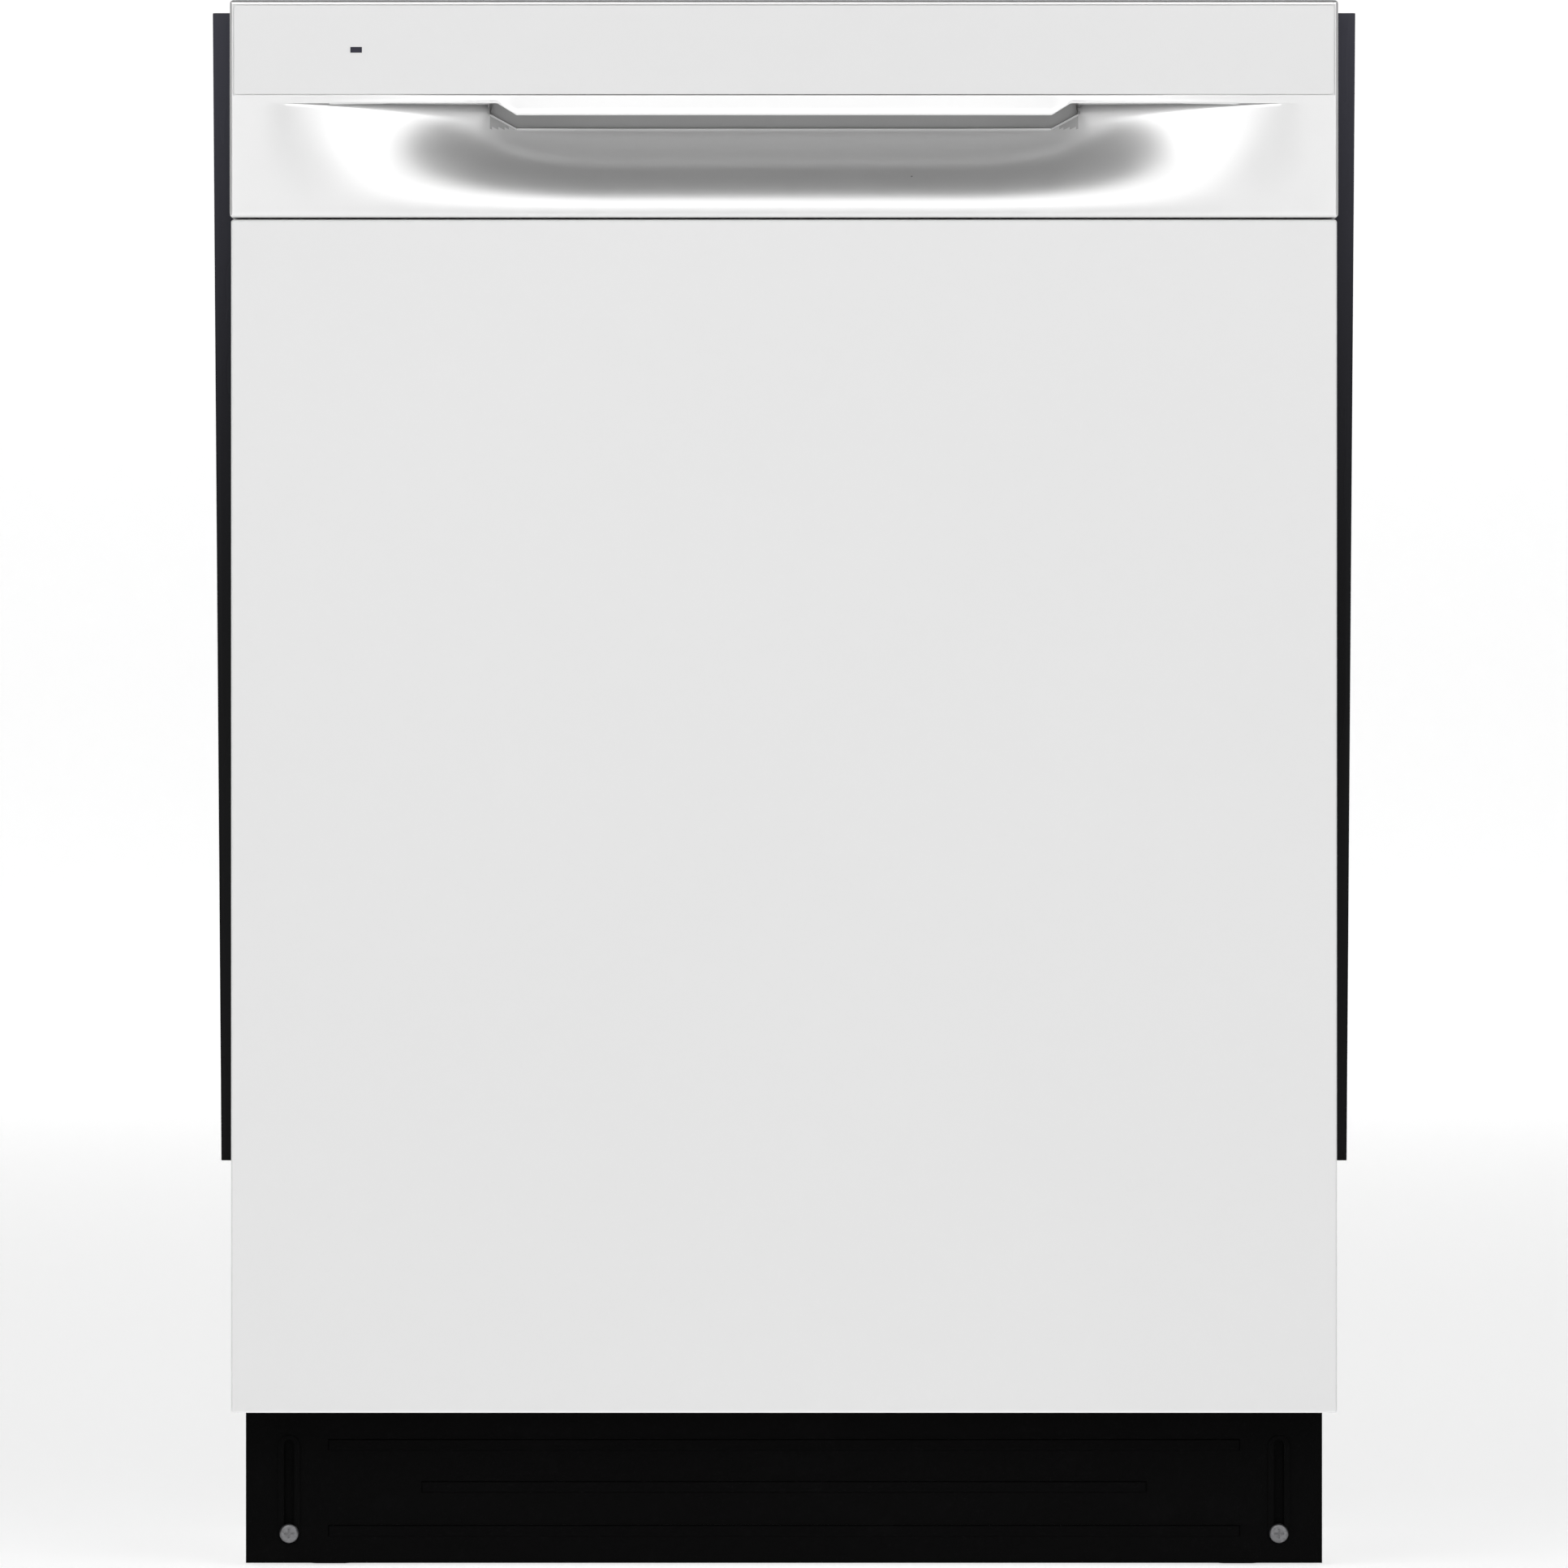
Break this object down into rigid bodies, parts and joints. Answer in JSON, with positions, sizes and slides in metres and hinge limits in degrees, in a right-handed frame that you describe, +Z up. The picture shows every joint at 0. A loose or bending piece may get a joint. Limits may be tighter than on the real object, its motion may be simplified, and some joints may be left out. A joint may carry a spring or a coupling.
{
  "type": "built-in dishwasher",
  "caption": "White built-in dishwasher with hidden top controls, scooped pocket handle, drop-down door, sliding racks, spray arms and a slotted toe kick.",
  "frame": {"origin": "on the floor, at the middle of the overall width and depth", "axes": "+X to the right as seen from the front, +Y to the rear, +Z up"},
  "size_m": [0.623, 0.635, 0.851],
  "materials": {
    "white_enamel": "semi-gloss enamel",
    "white_gloss": "gloss",
    "white_overlay": "gloss",
    "pocket_grey": "satin",
    "lens": "gloss",
    "black_steel": "satin powder coat",
    "seal_strip": "semi-gloss vinyl",
    "seal_rubber": "matte",
    "stainless": "brushed",
    "galvanised_steel": "galvanised",
    "spring_steel": "drawn wire",
    "screw_steel": "dark zinc",
    "heater_steel": "oxidised",
    "insulation_mat": "felted fibre",
    "coated_wire": "nylon coated",
    "grey_plastic": "moulded",
    "dark_grey_plastic": "moulded",
    "wheel_grey": "moulded",
    "button_grey": "satin",
    "black_plastic": "moulded",
    "pump_plastic": "moulded",
    "valve_plastic": "moulded",
    "hose_rubber": "matte"
  },
  "bodies": {
    "cabinet": {"tub": "stainless", "tub_seals": "seal_rubber", "insulation": "insulation_mat", "base_frame": "galvanised_steel", "side_seals": "seal_strip", "hinge_brackets": "galvanised_steel", "door_springs": "spring_steel", "strike_plate": "galvanised_steel", "mounting_brackets": "galvanised_steel", "sump": "black_plastic", "wash_pump": "pump_plastic", "drain_pump": "pump_plastic", "heating_element": "heater_steel", "inlet_valve": "valve_plastic", "fill_hose": "hose_rubber", "junction_box": "galvanised_steel", "feed_tube": "grey_plastic", "rail_glides": "grey_plastic", "filter_screen": "stainless", "toe_kick_screws": "screw_steel"},
    "door": {"door_panel": "white_enamel", "console_fascia": "white_gloss", "fascia_overlay": "white_overlay", "indicator_lens": "lens", "handle_pocket": "pocket_grey", "inner_liner": "stainless", "dispenser_body": "grey_plastic", "hinge_arms": "galvanised_steel", "latch_housing": "black_plastic", "control_housing": "black_plastic", "door_screws": "screw_steel"},
    "upper_rack": {"upper_rack_basket": "coated_wire", "rack_rails": "stainless", "rack_feed": "grey_plastic"},
    "lower_rack": {"lower_rack_basket": "coated_wire", "wheel_carriers": "grey_plastic"},
    "mid_spray_arm": {"mid_spray_arm": "grey_plastic"},
    "lower_spray_arm": {"lower_spray_arm": "grey_plastic"},
    "cup_shelf_left": {"cup_shelf_left": "coated_wire"},
    "cup_shelf_right": {"cup_shelf_right": "coated_wire"},
    "silverware_basket": {"silverware_basket": "grey_plastic"},
    "fold_tines": {"fold_tines": "coated_wire"},
    "dispenser_lid": {"dispenser_lid": "dark_grey_plastic"},
    "rinse_aid_cap": {"rinse_aid_cap": "dark_grey_plastic"},
    "latch_catch": {"latch_catch": "screw_steel"},
    "button_start": {"button_start": "button_grey"},
    "button_cycle": {"button_cycle": "button_grey"},
    "button_options": {"button_options": "button_grey"},
    "float": {"float": "dark_grey_plastic"},
    "filter_cylinder": {"filter_cylinder": "dark_grey_plastic"},
    "leg_front_left": {"leg_front_left": "black_plastic"},
    "leg_front_right": {"leg_front_right": "black_plastic"},
    "leg_rear_left": {"leg_rear_left": "black_plastic"},
    "leg_rear_right": {"leg_rear_right": "black_plastic"},
    "toe_kick": {"toe_kick": "black_steel"},
    "wash_impeller": {"wash_impeller": "pump_plastic"},
    "wheel_pair_1": {"wheel_pair_1": "wheel_grey"},
    "wheel_pair_2": {"wheel_pair_2": "wheel_grey"},
    "wheel_pair_3": {"wheel_pair_3": "wheel_grey"},
    "wheel_pair_4": {"wheel_pair_4": "wheel_grey"}
  },
  "joints": [
    {"name": "door_hinge", "type": "hinge", "parent": "cabinet", "child": "door", "pos_m": [0, -0.29, 0.105], "axis": [1, 0, 0], "range_deg": [0, 90], "stiffness_Nm_per_rad": 30, "springref_deg": -6.88, "deforming": ["door_springs"]},
    {"name": "upper_rack_slide", "type": "slide", "parent": "cabinet", "child": "upper_rack", "axis": [0, -1, 0], "range_m": [0, 0.38]},
    {"name": "lower_rack_slide", "type": "slide", "parent": "cabinet", "child": "lower_rack", "axis": [0, -1, 0], "range_m": [0, 0.15]},
    {"name": "mid_spray_arm_spin", "type": "hinge", "parent": "upper_rack", "child": "mid_spray_arm", "pos_m": [0, 0.02, 0.478], "axis": [0, 0, 1], "continuous": true},
    {"name": "lower_spray_arm_spin", "type": "hinge", "parent": "cabinet", "child": "lower_spray_arm", "pos_m": [0, 0.02, 0.153], "axis": [0, 0, 1], "continuous": true},
    {"name": "cup_shelf_left_hinge", "type": "hinge", "parent": "upper_rack", "child": "cup_shelf_left", "pos_m": [-0.231, 0.02, 0.588], "axis": [0, 1, 0], "range_deg": [0, 90]},
    {"name": "cup_shelf_right_hinge", "type": "hinge", "parent": "upper_rack", "child": "cup_shelf_right", "pos_m": [0.231, 0.02, 0.588], "axis": [0, -1, 0], "range_deg": [0, 90]},
    {"name": "silverware_basket_lift", "type": "slide", "parent": "lower_rack", "child": "silverware_basket", "axis": [0, 0, 1], "range_m": [0, 0.06]},
    {"name": "fold_tines_hinge", "type": "hinge", "parent": "lower_rack", "child": "fold_tines", "pos_m": [0, 0.015, 0.1745], "axis": [0, 1, 0], "range_deg": [0, 88]},
    {"name": "dispenser_lid_slide", "type": "slide", "parent": "door", "child": "dispenser_lid", "axis": [0, 0, -1], "range_m": [0, 0.05]},
    {"name": "rinse_aid_cap_turn", "type": "hinge", "parent": "door", "child": "rinse_aid_cap", "pos_m": [0.052, -0.268, 0.452], "axis": [0, 1, 0], "range_deg": [0, 90]},
    {"name": "latch_catch_pivot", "type": "hinge", "parent": "door", "child": "latch_catch", "pos_m": [0, -0.302, 0.843], "axis": [1, 0, 0], "range_deg": [0, 5], "stiffness_Nm_per_rad": 0.3, "springref_deg": -5.73},
    {"name": "button_start_press", "type": "slide", "parent": "door", "child": "button_start", "axis": [0, 0, -1], "range_m": [0, 0.001], "stiffness_N_per_m": 400, "springref_m": -0.001},
    {"name": "button_cycle_press", "type": "slide", "parent": "door", "child": "button_cycle", "axis": [0, 0, -1], "range_m": [0, 0.001], "stiffness_N_per_m": 400, "springref_m": -0.001},
    {"name": "button_options_press", "type": "slide", "parent": "door", "child": "button_options", "axis": [0, 0, -1], "range_m": [0, 0.001], "stiffness_N_per_m": 400, "springref_m": -0.001},
    {"name": "float_rise", "type": "slide", "parent": "cabinet", "child": "float", "axis": [0, 0, 1], "range_m": [0, 0.008]},
    {"name": "filter_turn", "type": "hinge", "parent": "cabinet", "child": "filter_cylinder", "pos_m": [0, 0.095, 0.13], "axis": [0, 0, -1], "range_deg": [0, 90]},
    {"name": "leg_front_left_adjust", "type": "slide", "parent": "cabinet", "child": "leg_front_left", "axis": [0, 0, -1], "range_m": [0, 0.03]},
    {"name": "leg_front_right_adjust", "type": "slide", "parent": "cabinet", "child": "leg_front_right", "axis": [0, 0, -1], "range_m": [0, 0.03]},
    {"name": "leg_rear_left_adjust", "type": "slide", "parent": "cabinet", "child": "leg_rear_left", "axis": [0, 0, -1], "range_m": [0, 0.03]},
    {"name": "leg_rear_right_adjust", "type": "slide", "parent": "cabinet", "child": "leg_rear_right", "axis": [0, 0, -1], "range_m": [0, 0.03]},
    {"name": "toe_kick_adjust", "type": "slide", "parent": "cabinet", "child": "toe_kick", "axis": [0, 0, -1], "range_m": [0, 0.048]},
    {"name": "wash_impeller_spin", "type": "hinge", "parent": "cabinet", "child": "wash_impeller", "pos_m": [0.12, 0.07, 0.072], "axis": [1, 0, 0], "continuous": true},
    {"name": "wheel_pair_1_roll", "type": "hinge", "parent": "lower_rack", "child": "wheel_pair_1", "pos_m": [0, -0.125, 0.1461], "axis": [1, 0, 0], "continuous": true},
    {"name": "wheel_pair_2_roll", "type": "hinge", "parent": "lower_rack", "child": "wheel_pair_2", "pos_m": [0, -0.035, 0.1461], "axis": [1, 0, 0], "continuous": true},
    {"name": "wheel_pair_3_roll", "type": "hinge", "parent": "lower_rack", "child": "wheel_pair_3", "pos_m": [0, 0.075, 0.1461], "axis": [1, 0, 0], "continuous": true},
    {"name": "wheel_pair_4_roll", "type": "hinge", "parent": "lower_rack", "child": "wheel_pair_4", "pos_m": [0, 0.185, 0.1461], "axis": [1, 0, 0], "continuous": true}
  ],
  "couplings": [
    {"joint": "upper_rack_slide", "follows": "door_hinge", "m_per_rad": 0.24189},
    {"joint": "lower_rack_slide", "follows": "door_hinge", "m_per_rad": 0.095483},
    {"joint": "wheel_pair_1_roll", "follows": "door_hinge", "ratio": 5.9677},
    {"joint": "wheel_pair_2_roll", "follows": "door_hinge", "ratio": 5.9677},
    {"joint": "wheel_pair_3_roll", "follows": "door_hinge", "ratio": 5.9677},
    {"joint": "wheel_pair_4_roll", "follows": "door_hinge", "ratio": 5.9677}
  ]
}
